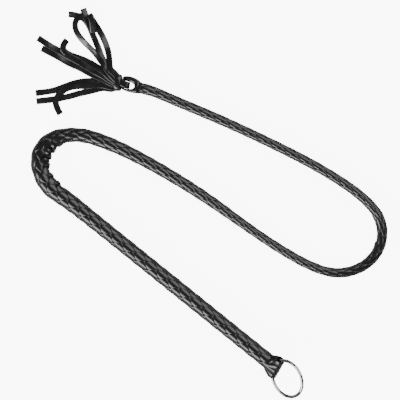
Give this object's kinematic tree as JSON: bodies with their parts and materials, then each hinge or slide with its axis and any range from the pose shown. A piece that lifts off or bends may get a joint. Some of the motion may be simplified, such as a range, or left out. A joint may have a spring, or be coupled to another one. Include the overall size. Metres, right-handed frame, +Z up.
{
  "type": "braided whip",
  "caption": "Braided single-tail whip: rod-stiffened handle with a hanging ring at the butt, flexible tapering thong, and a tassel of flat strips folded through an eye at the tip.",
  "frame": {"origin": "on the handle's axis, in the middle of the grip", "axes": "+X along the handle towards the ring at the butt; +Z up, square to the table the whip lies on"},
  "size_m": [0.47, 0.2313, 0.0361],
  "materials": {
    "ring_chrome": "polished chrome plate on steel wire",
    "plait_leather": "black patent faux leather, high gloss",
    "tassel_leather": "black patent faux leather strip, high gloss",
    "rod_wood": "plain turned rod",
    "core_rope": "twisted rope core",
    "binding_tape": "cloth tape",
    "whipping_thread": "waxed black thread"
  },
  "bodies": {
    "whip": {"butt_loop_1": "plait_leather", "butt_loop_2": "plait_leather", "butt_loop_3": "plait_leather", "butt_loop_4": "plait_leather", "handle_rod": "rod_wood", "handle_braid": "plait_leather", "core_binding": "binding_tape", "thong_core": "core_rope", "thong_braid": "plait_leather", "tip_whipping": "whipping_thread", "tip_eye": "plait_leather"},
    "ring": {"chrome_ring": "ring_chrome"},
    "tassel": {"tassel_wrap": "tassel_leather", "tassel_strip_1": "tassel_leather", "tassel_strip_2": "tassel_leather", "tassel_strip_3": "tassel_leather", "tassel_strip_4": "tassel_leather", "tassel_strip_5": "tassel_leather"}
  },
  "joints": [
    {"name": "ring_swing", "type": "hinge", "parent": "whip", "child": "ring", "pos_m": [0.058, 0, 0.00314], "axis": [0.1914, -0.8036, -0.5635], "range_deg": [-25, 140]},
    {"name": "tassel_swing", "type": "hinge", "parent": "whip", "child": "tassel", "pos_m": [-0.26822, 0.13715, -0.0022], "axis": [-0.4531, 0.8914, 0], "range_deg": [0, 60]}
  ]
}
